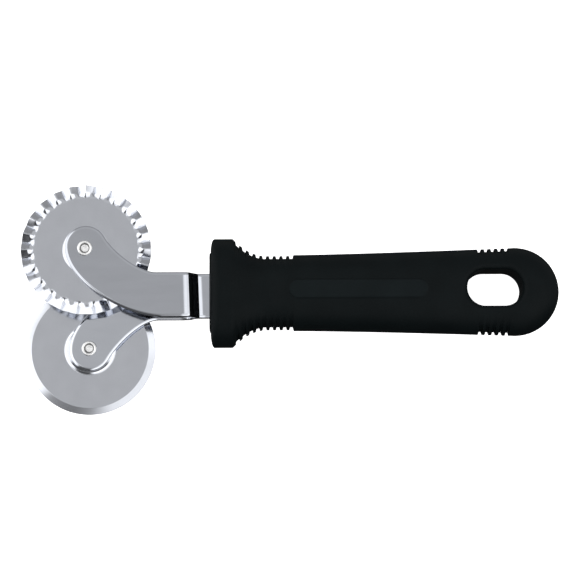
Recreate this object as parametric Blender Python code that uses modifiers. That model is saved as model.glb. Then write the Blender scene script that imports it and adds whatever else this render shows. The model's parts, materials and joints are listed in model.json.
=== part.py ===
"""Double pastry wheel: one fluted and one plain cutting wheel on a two-armed steel fork
in a moulded handle.

Frame: the tool lies flat, +Z up.  The handle runs along +X and the wheels are at -X, with
the fluted wheel's side at +Y.  Everything is first laid out about the handle's axis, with
X = 0 at the tip of the collar and Z = 0 midway through the fork's tangs.  An empty then
carries all of it to the final frame, whose origin is under the middle of the tool.
"""

import math

import bmesh
import bpy
from mathutils import Matrix, Vector

MM = 0.001
GAP = 0.3 * MM                     # between faces that touch on the real tool
RUNNING_GAP = 0.08 * MM            # between a wheel's bore and the bush it turns on
MERGE = 0.001 * MM

# Handle: half width is along Y, half thickness along Z
HANDLE_LENGTH = 134.15 * MM
COLLAR_FRONT = 0.4 * MM
COLLAR_ROUNDING = 1.3 * MM
COLLAR_BEVEL = 3.2 * MM            # length of the collar's rounding at its top and bottom
COLLAR_TIP_NARROWING = 4.4 * MM    # how much the roundings take off the collar's tip
COLLAR_TIP_THINNING = 4.5 * MM
COLLAR_TIP_SHARES = (0.0, 0.12, 0.4, 1.0)  # stations along the collar's rounding
COLLAR_HALF_WIDTH = 21.0 * MM
COLLAR_HALF_THICK = 13.0 * MM
NECK_X = 21.75 * MM
NECK_HALF_WIDTH = 14.27 * MM
NECK_HALF_THICK = 10.6 * MM
NECK_END = 32.15 * MM
COLLAR_BACK = 8.77 * MM
GRIP_START_HALF_WIDTH = 14.62 * MM
GRIP_HALF_THICK = 11.6 * MM
GRIP_SPREAD_POWER = 1.35           # above 1, the grip spreads faster towards the butt
BUTT_RADIUS = 17.0 * MM
BUTT_X = HANDLE_LENGTH - BUTT_RADIUS
BUTT_HALF_THICK = 10.2 * MM
FLAT_SHARE = 0.26                  # flat part of the half section's width
SECTION_POWER = 2.2                # superellipse power of the rounded part
ONE_FLAT_DEGREES = 0.1             # faces that meet this flatly are one face
SECTION_STEP = 15                  # degrees between points of the rounded part
CAP_STEP = 10                      # degrees between stations round the butt

# Finger grooves on both edges
GROOVE_PITCH = 2.575 * MM
GROOVE_HALF = 0.82 * MM
GROOVE_FLOOR_SHARE = 0.6           # flat part of a groove's width
GROOVE_DEPTH = 1.2 * MM
GROOVE_FADE = 6                    # how fast a groove fades away from the edge
NECK_GROOVES = 9
NECK_GROOVE_X = 10.64 * MM
BUTT_GROOVES = 5
BUTT_GROOVE_X = 103.6 * MM

# Hanging slot and label recess
SLOT_X = 109.1 * MM
SLOT_Y = 0.9 * MM
SLOT_LENGTH = 21.3 * MM
SLOT_WIDTH = 14.0 * MM
LABEL_START = 30.8 * MM
LABEL_END = 83.0 * MM
LABEL_Y = 0.5 * MM
LABEL_HALF_WIDTH = 3.1 * MM
LABEL_DEPTH = 0.4 * MM
LABEL_CUTTER_DEPTH = 4.0 * MM
SLOT_END_STEPS = 16                # facets of a half-round end
THROUGH = 40.0 * MM                # length of a cutter that goes right through the handle

# Core that fills the handle's socket and holds the tangs
PLATE_SIZE = Vector((6.0, 30.2, 15.0)) * MM
PLUG_SIZE = Vector((40.0, 22.0, 13.0)) * MM
CORE_ROUNDING = 3.0 * MM
PLUG_START = 3.0 * MM              # inside the plate, so that the two merge
SOCKET_MOUTH = 1.0 * MM            # how far the cutters stand out of the collar
POCKET_MOUTH = 1.5 * MM
POCKET_SPARE = 0.5 * MM            # room beyond the ends of the tangs
PIN_RADIUS = 2.0 * MM
PIN_LENGTH = 12.4 * MM
PIN_X = (12.0 * MM, 28.0 * MM)

# Fork: two arms of pressed strip
SHEET = 1.5 * MM
FORK_Y = -1.03 * MM
TANG_END = 35.0 * MM
TANG_LEVEL = 0.9 * MM              # middle of a tang's thickness
ARM_LEVEL = 7.1 * MM               # middle of an arm's thickness beyond the joggle
JOGGLE_REACH = (-11.0 * MM, -1.4 * MM)   # from the flat of the arm to the flat of its tang
JOGGLE_BEND = (-8.8 * MM, -4.2 * MM)     # the steep part, which takes most of the drop
JOGGLE_SHARE = 0.72
JOGGLE_CUTS = 10
STRAP_HALF_WIDTH = 8.6 * MM
STRAP_TOP_END = -20.5 * MM
STRAP_BOTTOM_END = -18.0 * MM
EYE_RADIUS = 8.0 * MM
EYE_OFFSET = Vector((0.3, 0.65)) * MM
EYE_STEP = 15                      # degrees between points round the eye
THROAT_DEGREES = 30                # where the sweep's inner edge meets the eye
TOP_PULL = 6.0 * MM                # handles of the two curves that shape the sweep
THROAT_PULL = 7.6 * MM
BACK_PULL = 13.0 * MM
BOTTOM_PULL = 15.0 * MM
INNER_STEPS = 12
OUTER_STEPS = 16
ARM_EDGE = 0.35 * MM
HOLE_RADIUS = PIN_RADIUS + GAP
ARM_CUTTER_LENGTH = 6.0 * MM

# Wheels; each axle is at (X, Y), and its assembly hangs from the back of its arm
FLUTED_AXLE = Vector((-47.6, 16.85)) * MM
PLAIN_AXLE = Vector((-46.95, -20.4)) * MM
FLUTED_RADIUS = 25.0 * MM
PLAIN_RADIUS = 25.4 * MM
WHEEL_SHEET = 1.0 * MM
BOSS_HEIGHT = 2.5 * MM
BOSS_RUN = 2.8 * MM                # radial length of the boss's slope
FLUTED_BOSS_RADIUS = 8.3 * MM
PLAIN_BOSS_RADIUS = 9.4 * MM
BOSS_BACK_SHIFT = 0.45 * MM        # keeps the boss's sloping wall as thick as the sheet
BEVEL_WIDTH = 2.6 * MM
EDGE_THICK = 0.24 * MM
EDGE_LEVEL = -0.15 * MM            # the front of the rim is ground back further than the rear
FLUTES = 24
FLUTE_HEIGHT = 0.95 * MM
FLUTE_START = 20.0 * MM
FLUTE_FULL = 21.7 * MM
DISC_RING = 15.0 * MM              # rings of points that keep the faces well shaped
FLUTE_RING = 23.3 * MM
WHEEL_STEPS = 96
BUSH_RADIUS = 3.0 * MM
WHEEL_DROP = 3.4 * MM              # from the arm's back face to the middle of the disc
BUSH_LENGTH = 1.3 * MM
WASHER_RADIUS = 5.2 * MM
WASHER_THICK = 0.6 * MM
RING_RADIUS = 2.9 * MM
RING_HEIGHT = 0.75 * MM
PIT_RADIUS = 1.8 * MM
PIT_DEPTH = 1.3 * MM
PIT_LIP = 0.35 * MM                # from the pit's wall to the top of the ring
RING_ROUNDING = 0.3 * MM
RING_FALL = 0.1 * MM               # how much the ring's top slopes outwards
RING_UNDERCUT = 0.15 * MM
HEAD_RADIUS = 4.2 * MM
HEAD_THICK = 1.2 * MM
HEAD_EDGE = (0.2 * MM, 0.4 * MM)   # small chamfer next to the washer
HEAD_CROWN = 0.9 * MM
AXLE_STEPS = 32

# The final frame's origin: under the middle of the tool, on the surface it lies on
ORIGIN = Vector((
    (FLUTED_AXLE.x - FLUTED_RADIUS + HANDLE_LENGTH) / 2,
    (FLUTED_AXLE.y + FLUTED_RADIUS + PLAIN_AXLE.y - PLAIN_RADIUS) / 2,
    -COLLAR_HALF_THICK,
))

BLACK_PLASTIC = ((0.018, 0.021, 0.021), 0.5, 0.0)
DARK_PLASTIC = ((0.012, 0.013, 0.014), 0.6, 0.0)
BRUSHED_STEEL = ((0.56, 0.56, 0.55), 0.35, 1.0)
POLISHED_STEEL = ((0.66, 0.66, 0.65), 0.2, 1.0)
PALE_NYLON = ((0.72, 0.7, 0.64), 0.45, 0.0)


# ---------------------------------------------------------------- scene and helpers

def clear_scene():
    for obj in list(bpy.data.objects):
        bpy.data.objects.remove(obj, do_unlink=True)


def make_collection(name):
    collection = bpy.data.collections.new(name)
    bpy.context.scene.collection.children.link(collection)
    return collection


def make_material(name, look):
    colour, roughness, metallic = look
    material = bpy.data.materials.new(name)
    material.use_nodes = True
    shader = material.node_tree.nodes["Principled BSDF"]
    shader.inputs["Base Color"].default_value = (*colour, 1.0)
    shader.inputs["Roughness"].default_value = roughness
    shader.inputs["Metallic"].default_value = metallic
    material.diffuse_color = (*colour, 1.0)
    return material


class Assembly:
    """Collections, the parent empty and the way a mesh becomes a part or a cutter."""

    def __init__(self):
        self.parts = make_collection("double_pastry_wheel")
        self.cutters = make_collection("cutters")
        self.root = bpy.data.objects.new("tool_frame", None)
        self.root.location = -ORIGIN
        self.parts.objects.link(self.root)

    def add(self, name, mesh, look, location=(0, 0, 0)):
        obj = bpy.data.objects.new(name, mesh)
        obj.location = location
        obj.parent = self.root
        mesh.materials.append(make_material(name + "_material", look))
        self.parts.objects.link(obj)
        return obj

    def add_cutter(self, name, mesh, location=(0, 0, 0)):
        obj = bpy.data.objects.new(name, mesh)
        obj.location = location
        obj.parent = self.root
        obj.hide_render = True
        obj.display_type = "WIRE"
        self.cutters.objects.link(obj)
        return obj


def mesh_from(bm, name, sharp_degrees=30):
    bmesh.ops.remove_doubles(bm, verts=bm.verts, dist=MERGE)
    bmesh.ops.recalc_face_normals(bm, faces=bm.faces)
    mesh = bpy.data.meshes.new(name)
    bm.to_mesh(mesh)
    bm.free()
    mesh.shade_smooth()
    mesh.set_sharp_from_angle(angle=math.radians(sharp_degrees))
    return mesh


def cut(obj, cutter, operation="DIFFERENCE"):
    boolean = obj.modifiers.new(cutter.name, "BOOLEAN")
    boolean.operation = operation
    boolean.solver = "EXACT"
    boolean.object = cutter


def box_mesh(name, size, rounding=0.0):
    bm = bmesh.new()
    bmesh.ops.create_cube(bm, size=1.0, matrix=Matrix.Diagonal((*size, 1.0)))
    if rounding:
        along_x = [e for e in bm.edges if abs(e.verts[0].co.x - e.verts[1].co.x) > MERGE]
        bmesh.ops.bevel(bm, geom=along_x, offset=rounding, segments=4, profile=0.5,
                        affect="EDGES")
    return mesh_from(bm, name)


def cylinder_mesh(name, radius, length, segments=32):
    bm = bmesh.new()
    bmesh.ops.create_cone(bm, cap_ends=True, segments=segments, radius1=radius,
                          radius2=radius, depth=length)
    return mesh_from(bm, name)


def profile_mesh(name, points, closed):
    """A profile in the XZ plane, to be turned about Z by a Screw modifier."""
    mesh = bpy.data.meshes.new(name)
    edges = [(i, i + 1) for i in range(len(points) - 1)]
    if closed:
        edges.append((len(points) - 1, 0))
    mesh.from_pydata([(r, 0.0, z) for r, z in points], edges, [])
    return mesh


def turn(obj, steps):
    screw = obj.modifiers.new("turn", "SCREW")
    screw.steps = steps
    screw.render_steps = steps
    screw.use_merge_vertices = True
    screw.merge_threshold = MERGE
    screw.use_smooth_shade = True


def bevel_rim(obj, width, segments, degrees=50):
    bevel = obj.modifiers.new("edges", "BEVEL")
    bevel.width = width
    bevel.segments = segments
    bevel.limit_method = "ANGLE"
    bevel.angle_limit = math.radians(degrees)


# ---------------------------------------------------------------- handle

def smooth_step(x, start, end):
    t = min(max((x - start) / (end - start), 0.0), 1.0)
    return t * t * (3 - 2 * t)


def groove_depth(x):
    """How deep a finger groove is at x along the edge of the handle."""
    for start, count in ((NECK_GROOVE_X, NECK_GROOVES), (BUTT_GROOVE_X, BUTT_GROOVES)):
        nearest = min(max(round((x - start) / GROOVE_PITCH), 0), count - 1)
        away = abs(x - start - nearest * GROOVE_PITCH) / GROOVE_HALF
        if away < 1.0:
            return GROOVE_DEPTH * min((1 - away) / (1 - GROOVE_FLOOR_SHARE), 1.0)
    return 0.0


def flare(x):
    """The neck's spread towards the collar: 0 at the neck, 1 at the collar's back."""
    return (max(NECK_X - x, 0.0) / (NECK_X - COLLAR_BACK)) ** 2


def front_rounding(x, length):
    """How far the collar's front edge is rounded back, from 0 to 1."""
    t = min(max((x - COLLAR_FRONT) / length, 0.0), 1.0)
    return 1 - math.sqrt(1 - (1 - t) ** 2)


def half_width(x):
    if x < NECK_END:
        width = NECK_HALF_WIDTH + (COLLAR_HALF_WIDTH - NECK_HALF_WIDTH) * flare(x)
        width = min(width, COLLAR_HALF_WIDTH)
        return width - COLLAR_TIP_NARROWING * front_rounding(x, COLLAR_ROUNDING)
    along = (x - NECK_END) / (BUTT_X - NECK_END)
    spread = BUTT_RADIUS - GRIP_START_HALF_WIDTH
    return GRIP_START_HALF_WIDTH + spread * along ** GRIP_SPREAD_POWER


def half_thickness(x):
    flared = (COLLAR_HALF_THICK - NECK_HALF_THICK) * min(flare(x), 1.0)
    swell = (GRIP_HALF_THICK - NECK_HALF_THICK) * smooth_step(x, NECK_X, LABEL_START)
    thinning = (GRIP_HALF_THICK - BUTT_HALF_THICK) * smooth_step(x, LABEL_END, SLOT_X)
    rounded = COLLAR_TIP_THINNING * front_rounding(x, COLLAR_BEVEL)
    return NECK_HALF_THICK + flared + swell - thinning - rounded


def section_shape():
    """Half a section as (width share, thickness share), from the top round to the bottom."""
    upper = [(0.0, 1.0)]
    for degrees in range(90, -1, -SECTION_STEP):
        angle = math.radians(degrees)
        share = max(math.cos(angle), 0.0) ** (2 / SECTION_POWER)
        height = math.sin(angle) ** (2 / SECTION_POWER)
        upper.append((FLAT_SHARE + (1 - FLAT_SHARE) * share, height))
    return upper + [(share, -height) for share, height in reversed(upper[:-1])]


def handle_stations():
    """Places along X where the handle gets a section."""
    stations = [COLLAR_FRONT + COLLAR_ROUNDING * share for share in COLLAR_TIP_SHARES]
    stations += [COLLAR_FRONT + COLLAR_BEVEL, COLLAR_BACK, NECK_END, LABEL_END, BUTT_X]
    stations += [NECK_END + (LABEL_END - NECK_END) * step / 4 for step in range(1, 4)]
    stations.append((LABEL_END + BUTT_GROOVE_X) / 2)
    for start, count in ((NECK_GROOVE_X, NECK_GROOVES), (BUTT_GROOVE_X, BUTT_GROOVES)):
        for groove in range(count):
            middle = start + groove * GROOVE_PITCH
            for share in (-1.0, -GROOVE_FLOOR_SHARE, GROOVE_FLOOR_SHARE, 1.0):
                stations.append(middle + GROOVE_HALF * share)
    return sorted(stations)


def handle_half_mesh():
    """The half of the handle at +Y, open on the plane Y = 0."""
    shape = section_shape()
    rows = []
    for x in handle_stations():
        wide, thick, groove = half_width(x), half_thickness(x), groove_depth(x)
        rows.append([(x, wide * share - groove * share ** GROOVE_FADE, thick * height)
                     for share, height in shape])
    for degrees in range(90 - CAP_STEP, -1, -CAP_STEP):
        angle = math.radians(degrees)
        rows.append([(BUTT_X + BUTT_RADIUS * share * math.cos(angle),
                      BUTT_RADIUS * share * math.sin(angle),
                      half_thickness(BUTT_X) * height) for share, height in shape])
    bm = bmesh.new()
    grid = [[bm.verts.new(point) for point in row] for row in rows]
    for row, following in zip(grid, grid[1:]):
        for j in range(len(shape) - 1):
            bm.faces.new((row[j], following[j], following[j + 1], row[j + 1]))
    bm.faces.new(grid[0])
    bmesh.ops.dissolve_degenerate(bm, edges=bm.edges, dist=MERGE)
    return mesh_from(bm, "handle_grip")


def slot_mesh(name, length, width, depth):
    """A stadium-shaped prism along X, standing along Z."""
    curve = bpy.data.curves.new(name, "CURVE")
    curve.dimensions = "2D"
    curve.fill_mode = "BOTH"
    curve.extrude = depth / 2
    spline = curve.splines.new("POLY")
    radius = width / 2
    points = []
    for side in (1, -1):
        for step in range(SLOT_END_STEPS + 1):
            angle = math.pi * (step / SLOT_END_STEPS - side / 2)
            points.append((side * (length / 2 - radius) + radius * math.cos(angle),
                           radius * math.sin(angle), 0.0, 1.0))
    spline.points.add(len(points) - 1)
    for point, place in zip(spline.points, points):
        point.co = place
    spline.use_cyclic_u = True
    return mesh_of_curve(curve, name)


def mesh_of_curve(curve, name):
    """The closed mesh of a curve, which is then removed."""
    holder = bpy.data.objects.new(name, curve)
    bpy.context.scene.collection.objects.link(holder)
    evaluated = holder.evaluated_get(bpy.context.evaluated_depsgraph_get())
    bm = bmesh.new()
    bm.from_mesh(bpy.data.meshes.new_from_object(evaluated))
    bpy.data.objects.remove(holder, do_unlink=True)
    return mesh_from(bm, name)


def add_handle(tool):
    grip = tool.add("handle_grip", handle_half_mesh(), BLACK_PLASTIC)
    mirror = grip.modifiers.new("other_half", "MIRROR")
    mirror.use_axis = (False, True, False)
    mirror.use_clip = True
    mirror.merge_threshold = MERGE
    one_flat = grip.modifiers.new("flats_across_the_seam", "DECIMATE")
    one_flat.decimate_type = "DISSOLVE"
    one_flat.angle_limit = math.radians(ONE_FLAT_DEGREES)
    for name, cutter_mesh, place in (
        ("slot_cutter", slot_mesh("slot_cutter", SLOT_LENGTH, SLOT_WIDTH, THROUGH),
         (SLOT_X, SLOT_Y, 0)),
        ("label_cutter", slot_mesh("label_cutter", LABEL_END - LABEL_START,
                                   2 * LABEL_HALF_WIDTH, LABEL_CUTTER_DEPTH),
         ((LABEL_START + LABEL_END) / 2, LABEL_Y,
          GRIP_HALF_THICK - LABEL_DEPTH + LABEL_CUTTER_DEPTH / 2)),
    ):
        cut(grip, tool.add_cutter(name, cutter_mesh, place))
    clearance = Vector((GAP, 2 * GAP, 2 * GAP))
    for name, size in (("plate_socket", PLATE_SIZE), ("plug_socket", PLUG_SIZE)):
        socket = size + clearance + Vector((SOCKET_MOUTH, 0, 0))
        mesh = box_mesh(name, socket, CORE_ROUNDING)
        cut(grip, tool.add_cutter(name, mesh, (socket.x / 2 - SOCKET_MOUTH, 0, 0)))


def add_core(tool):
    """The inner moulding: a front plate and a plug, with a pocket for the two tangs."""
    core = tool.add("handle_core", box_mesh("handle_core", PLATE_SIZE, CORE_ROUNDING),
                    DARK_PLASTIC, (PLATE_SIZE.x / 2, 0, 0))
    plug = Vector((PLUG_SIZE.x - PLUG_START, PLUG_SIZE.y, PLUG_SIZE.z))
    plug_place = (PLUG_START + plug.x / 2, 0, 0)
    body = tool.add_cutter("core_plug", box_mesh("core_plug", plug, CORE_ROUNDING), plug_place)
    cut(core, body, "UNION")
    pocket = Vector((POCKET_MOUTH + TANG_END + POCKET_SPARE, STRAP_HALF_WIDTH * 2 + 2 * GAP,
                     2 * (TANG_LEVEL + SHEET / 2 + GAP)))
    pocket_place = (pocket.x / 2 - POCKET_MOUTH, FORK_Y, 0)
    cut(core, tool.add_cutter("tang_pocket", box_mesh("tang_pocket", pocket), pocket_place))
    for number, x in enumerate(PIN_X, start=1):
        hole = cylinder_mesh("pin_hole", HOLE_RADIUS, THROUGH)
        cut(core, tool.add_cutter(f"core_pin_hole_{number}", hole, (x, FORK_Y, 0)))


# ---------------------------------------------------------------- fork

def bezier(a, b, c, d, steps):
    for step in range(steps + 1):
        t = step / steps
        s = 1 - t
        yield a * s ** 3 + b * 3 * s * s * t + c * 3 * s * t * t + d * t ** 3


def arm_outline(eye):
    """An arm seen from above with its eye at +Y: tang, strap, sweep and rounded eye.

    Both arms are bent from this shape; the lower one is turned over."""
    centre = eye + EYE_OFFSET
    throat_angle = math.radians(THROAT_DEGREES)
    throat = centre + EYE_RADIUS * Vector((math.cos(throat_angle), math.sin(throat_angle)))
    inward = Vector((math.sin(throat_angle), -math.cos(throat_angle)))
    back = centre + Vector((-EYE_RADIUS, 0))
    top = Vector((STRAP_TOP_END, STRAP_HALF_WIDTH))
    bottom = Vector((STRAP_BOTTOM_END, -STRAP_HALF_WIDTH))
    outline = [Vector((TANG_END, STRAP_HALF_WIDTH))]
    outline += bezier(top, top + Vector((-TOP_PULL, 0)), throat + inward * THROAT_PULL, throat,
                      INNER_STEPS)
    for degrees in range(THROAT_DEGREES + EYE_STEP, 180, EYE_STEP):
        angle = math.radians(degrees)
        outline.append(centre + EYE_RADIUS * Vector((math.cos(angle), math.sin(angle))))
    outline += bezier(back, back + Vector((0, -BACK_PULL)), bottom + Vector((-BOTTOM_PULL, 0)),
                      bottom, OUTER_STEPS)
    outline.append(Vector((TANG_END, -STRAP_HALF_WIDTH)))
    return outline


def eased(x, start, end):
    """From 0 at start to 1 at end, with no bend at either."""
    t = min(max((x - start) / (end - start), 0.0), 1.0)
    return t ** 3 * (10 - 15 * t + 6 * t * t)


def joggle_rise(x):
    """Rise share of the joggle at x: 1 out on the arm and 0 on the tang."""
    return (1 - JOGGLE_SHARE * eased(x, *JOGGLE_BEND)
            - (1 - JOGGLE_SHARE) * eased(x, *JOGGLE_REACH))


def arm_mesh(name, eye):
    bm = bmesh.new()
    bm.faces.new([bm.verts.new((point.x, point.y, 0.0)) for point in arm_outline(eye)])
    start, end = JOGGLE_REACH
    for step in range(JOGGLE_CUTS + 1):
        x = start + (end - start) * step / JOGGLE_CUTS
        everything = bm.verts[:] + bm.edges[:] + bm.faces[:]
        bmesh.ops.bisect_plane(bm, geom=everything, dist=MERGE, plane_no=(1, 0, 0),
                               plane_co=(x, 0, 0))
    for vert in bm.verts:
        vert.co.z = TANG_LEVEL + (ARM_LEVEL - TANG_LEVEL) * joggle_rise(vert.co.x)
    return mesh_from(bm, name)


def add_arm(tool, name, axle, side):
    """side is 1 for the upper arm, and -1 for the lower one, which is turned over."""
    eye = Vector((axle.x, side * (axle.y - FORK_Y)))
    arm = tool.add(name, arm_mesh(name, eye), BRUSHED_STEEL, (0, FORK_Y, 0))
    if side < 0:
        arm.rotation_euler.x = math.pi
    solid = arm.modifiers.new("thickness", "SOLIDIFY")
    solid.thickness = SHEET
    solid.offset = 0.0
    solid.use_even_offset = True
    bevel_rim(arm, ARM_EDGE, 2)
    for x, y in [(axle.x, axle.y)] + [(pin, FORK_Y) for pin in PIN_X]:
        hole = cylinder_mesh("arm_hole", HOLE_RADIUS, ARM_CUTTER_LENGTH)
        level = ARM_LEVEL if x < 0 else TANG_LEVEL
        cut(arm, tool.add_cutter(f"{name}_hole", hole, (x, y, side * level)))


# ---------------------------------------------------------------- wheels and axles

def boss_profile(foot_radius):
    """Middle surface of a wheel's centre, from the bore out to the foot of its boss."""
    return [(BUSH_RADIUS + RUNNING_GAP, BOSS_HEIGHT), (foot_radius - BOSS_RUN, BOSS_HEIGHT),
            (foot_radius, 0.0)]


def fluting(angle):
    """Triangle wave from -1 to 1, one period for each flute."""
    phase = (angle * FLUTES / math.tau) % 1.0
    return 4 * abs(phase - 0.5) - 1


def fluted_wheel_mesh():
    bm = bmesh.new()
    profile = boss_profile(FLUTED_BOSS_RADIUS)
    profile += [(radius, 0.0) for radius in (DISC_RING, FLUTE_START, FLUTE_FULL, FLUTE_RING,
                                             FLUTED_RADIUS)]
    verts = [bm.verts.new((radius, 0.0, z)) for radius, z in profile]
    edges = [bm.edges.new(pair) for pair in zip(verts, verts[1:])]
    bmesh.ops.spin(bm, geom=verts + edges, axis=(0, 0, 1), cent=(0, 0, 0), dvec=(0, 0, 0),
                   angle=math.tau, steps=WHEEL_STEPS, use_duplicate=False)
    bmesh.ops.remove_doubles(bm, verts=bm.verts, dist=MERGE)
    for vert in bm.verts:
        share = (vert.co.xy.length - FLUTE_START) / (FLUTE_FULL - FLUTE_START)
        lift = FLUTE_HEIGHT * min(max(share, 0.0), 1.0)
        vert.co.z += lift * fluting(math.atan2(vert.co.y, vert.co.x))
    return mesh_from(bm, "fluted_wheel", 20)


def add_fluted_wheel(tool, centre):
    wheel = tool.add("fluted_wheel", fluted_wheel_mesh(), BRUSHED_STEEL, centre)
    solid = wheel.modifiers.new("thickness", "SOLIDIFY")
    solid.thickness = WHEEL_SHEET
    solid.offset = 0.0
    solid.use_even_offset = True


def add_plain_wheel(tool, centre):
    half = WHEEL_SHEET / 2
    boss = boss_profile(PLAIN_BOSS_RADIUS)
    front = [(radius, z + half) for radius, z in boss]
    back = [(radius - BOSS_BACK_SHIFT, z - half) for radius, z in boss[1:]]
    bevel_start = PLAIN_RADIUS - BEVEL_WIDTH
    edge_front = EDGE_LEVEL + EDGE_THICK / 2
    edge_back = EDGE_LEVEL - EDGE_THICK / 2
    profile = front + [(bevel_start, half), (PLAIN_RADIUS, edge_front),
                       (PLAIN_RADIUS, edge_back), (bevel_start, -half)]
    profile += list(reversed(back))
    profile.append((BUSH_RADIUS + RUNNING_GAP, BOSS_HEIGHT - half))
    wheel = tool.add("plain_wheel", profile_mesh("plain_wheel", profile, True),
                     BRUSHED_STEEL, centre)
    turn(wheel, WHEEL_STEPS)


def ring_profile(inner, outer, top, bottom):
    return [(inner, top), (outer, top), (outer, bottom), (inner, bottom)]


def add_axle(tool, prefix, axle, arm_back):
    """Rivet, bush and washer of one wheel; heights run down from the arm's back face."""
    place = (axle.x, axle.y, arm_back)
    bush_top = -GAP
    washer_top = bush_top - BUSH_LENGTH - GAP
    head_top = washer_top - WASHER_THICK - GAP
    head_bottom = head_top - HEAD_THICK
    ring_bottom = SHEET + GAP
    ring_top = ring_bottom + RING_HEIGHT
    shank = HOLE_RADIUS - GAP
    rivet_profile = [
        (0.0, ring_top - PIT_DEPTH), (PIT_RADIUS - RING_ROUNDING, ring_top - PIT_DEPTH),
        (PIT_RADIUS, ring_top - RING_ROUNDING), (PIT_RADIUS + PIT_LIP, ring_top),
        (RING_RADIUS - RING_ROUNDING, ring_top - RING_FALL),
        (RING_RADIUS, ring_bottom + RING_ROUNDING),
        (RING_RADIUS - RING_UNDERCUT, ring_bottom), (shank, ring_bottom),
        (shank, head_top), (HEAD_RADIUS - HEAD_EDGE[0], head_top),
        (HEAD_RADIUS, head_top - HEAD_EDGE[1]), (HEAD_RADIUS - HEAD_CROWN, head_bottom),
        (0.0, head_bottom),
    ]
    rivet = tool.add(prefix + "_axle_rivet",
                     profile_mesh(prefix + "_axle_rivet", rivet_profile, False),
                     POLISHED_STEEL, place)
    turn(rivet, AXLE_STEPS)
    bush = tool.add(prefix + "_hub_bush",
                    profile_mesh(prefix + "_hub_bush",
                                 ring_profile(HOLE_RADIUS, BUSH_RADIUS, bush_top,
                                              bush_top - BUSH_LENGTH), True),
                    POLISHED_STEEL, place)
    turn(bush, WHEEL_STEPS // 2)
    washer = tool.add(prefix + "_hub_washer",
                      profile_mesh(prefix + "_hub_washer",
                                   ring_profile(HOLE_RADIUS, WASHER_RADIUS, washer_top,
                                                washer_top - WASHER_THICK), True),
                      PALE_NYLON, place)
    turn(washer, AXLE_STEPS)


def add_wheels(tool):
    fluted_back = ARM_LEVEL - SHEET / 2
    plain_back = -ARM_LEVEL - SHEET / 2
    add_fluted_wheel(tool, (*FLUTED_AXLE, fluted_back - WHEEL_DROP))
    add_plain_wheel(tool, (*PLAIN_AXLE, plain_back - WHEEL_DROP))
    add_axle(tool, "fluted", FLUTED_AXLE, fluted_back)
    add_axle(tool, "plain", PLAIN_AXLE, plain_back)


def add_pins(tool):
    for name, x in zip(("front_tang_pin", "rear_tang_pin"), PIN_X):
        tool.add(name, cylinder_mesh(name, PIN_RADIUS, PIN_LENGTH), POLISHED_STEEL,
                 (x, FORK_Y, 0))


def main():
    clear_scene()
    tool = Assembly()
    add_handle(tool)
    add_core(tool)
    add_arm(tool, "upper_arm", FLUTED_AXLE, 1)
    add_arm(tool, "lower_arm", PLAIN_AXLE, -1)
    add_pins(tool)
    add_wheels(tool)


main()
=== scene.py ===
"""Double pastry wheel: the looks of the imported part, and the studio it is shown in.

Shapes are laid out about the tool's own origin: X = 0 at the tip of the collar, Y = 0 on
the handle's axis and Z = 0 midway through the fork's tangs.  Everything is in metres.
"""

import json
import math

import bmesh
import bpy
from mathutils import Matrix, Vector


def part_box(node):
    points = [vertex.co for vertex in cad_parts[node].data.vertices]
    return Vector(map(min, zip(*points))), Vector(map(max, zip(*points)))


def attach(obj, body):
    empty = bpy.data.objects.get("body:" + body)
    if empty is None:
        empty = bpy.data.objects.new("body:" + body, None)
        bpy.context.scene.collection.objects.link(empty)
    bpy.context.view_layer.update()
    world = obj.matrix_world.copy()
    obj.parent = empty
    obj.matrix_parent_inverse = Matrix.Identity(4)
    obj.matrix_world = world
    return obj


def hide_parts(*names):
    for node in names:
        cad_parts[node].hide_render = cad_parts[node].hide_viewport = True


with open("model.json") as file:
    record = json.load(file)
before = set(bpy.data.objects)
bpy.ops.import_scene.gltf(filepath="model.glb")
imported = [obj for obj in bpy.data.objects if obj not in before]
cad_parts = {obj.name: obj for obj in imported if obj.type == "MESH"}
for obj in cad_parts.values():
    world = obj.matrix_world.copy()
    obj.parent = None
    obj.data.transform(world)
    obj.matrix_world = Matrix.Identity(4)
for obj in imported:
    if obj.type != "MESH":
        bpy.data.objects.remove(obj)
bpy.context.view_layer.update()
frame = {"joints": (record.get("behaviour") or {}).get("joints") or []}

MM = 0.001
GAP = 0.3 * MM  # between faces that touch on the real tool
MERGE = 0.001 * MM
LEAST_ROUNDING = 0.1 * MM
CUTTER_SPARE = 1.0 * MM  # how far a cutter stands out of the face it enters
CUTTER_REACH = 20.0 * MM  # half the length of a cutter that goes right through

# Handle: half width is along Y, half thickness along Z
HANDLE_LENGTH = 134.15 * MM
COLLAR_FRONT = 0.4 * MM
COLLAR_ROUNDING = 1.3 * MM
COLLAR_BEVEL = 3.2 * MM  # length of the collar's rounding at its top and bottom
COLLAR_TIP_NARROWING = 4.4 * MM  # taken off at the tip
COLLAR_TIP_THINNING = 4.5 * MM
COLLAR_HALF_WIDTH = 21.0 * MM
COLLAR_HALF_THICK = 13.0 * MM
NECK_X = 21.75 * MM
NECK_HALF_WIDTH = 14.27 * MM
NECK_HALF_THICK = 10.6 * MM
NECK_END = 32.15 * MM
COLLAR_BACK = 8.77 * MM
GRIP_START_HALF_WIDTH = 14.62 * MM
GRIP_HALF_THICK = 11.6 * MM
GRIP_SPREAD_POWER = 1.35  # above 1, the grip spreads faster towards the butt
BUTT_RADIUS = 17.0 * MM
BUTT_X = HANDLE_LENGTH - BUTT_RADIUS
BUTT_HALF_THICK = 10.2 * MM
FLAT_SHARE = 0.26  # flat part of the half section's width
SECTION_POWER = 2.2  # of the superellipse
SECTION_STEPS = 30
CAP_STEPS = 32
PARTING_LINE = 0.05 * MM  # depth of the mould's seam
PARTING_SHARE = 0.014  # its half width, as a share of the half thickness

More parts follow.
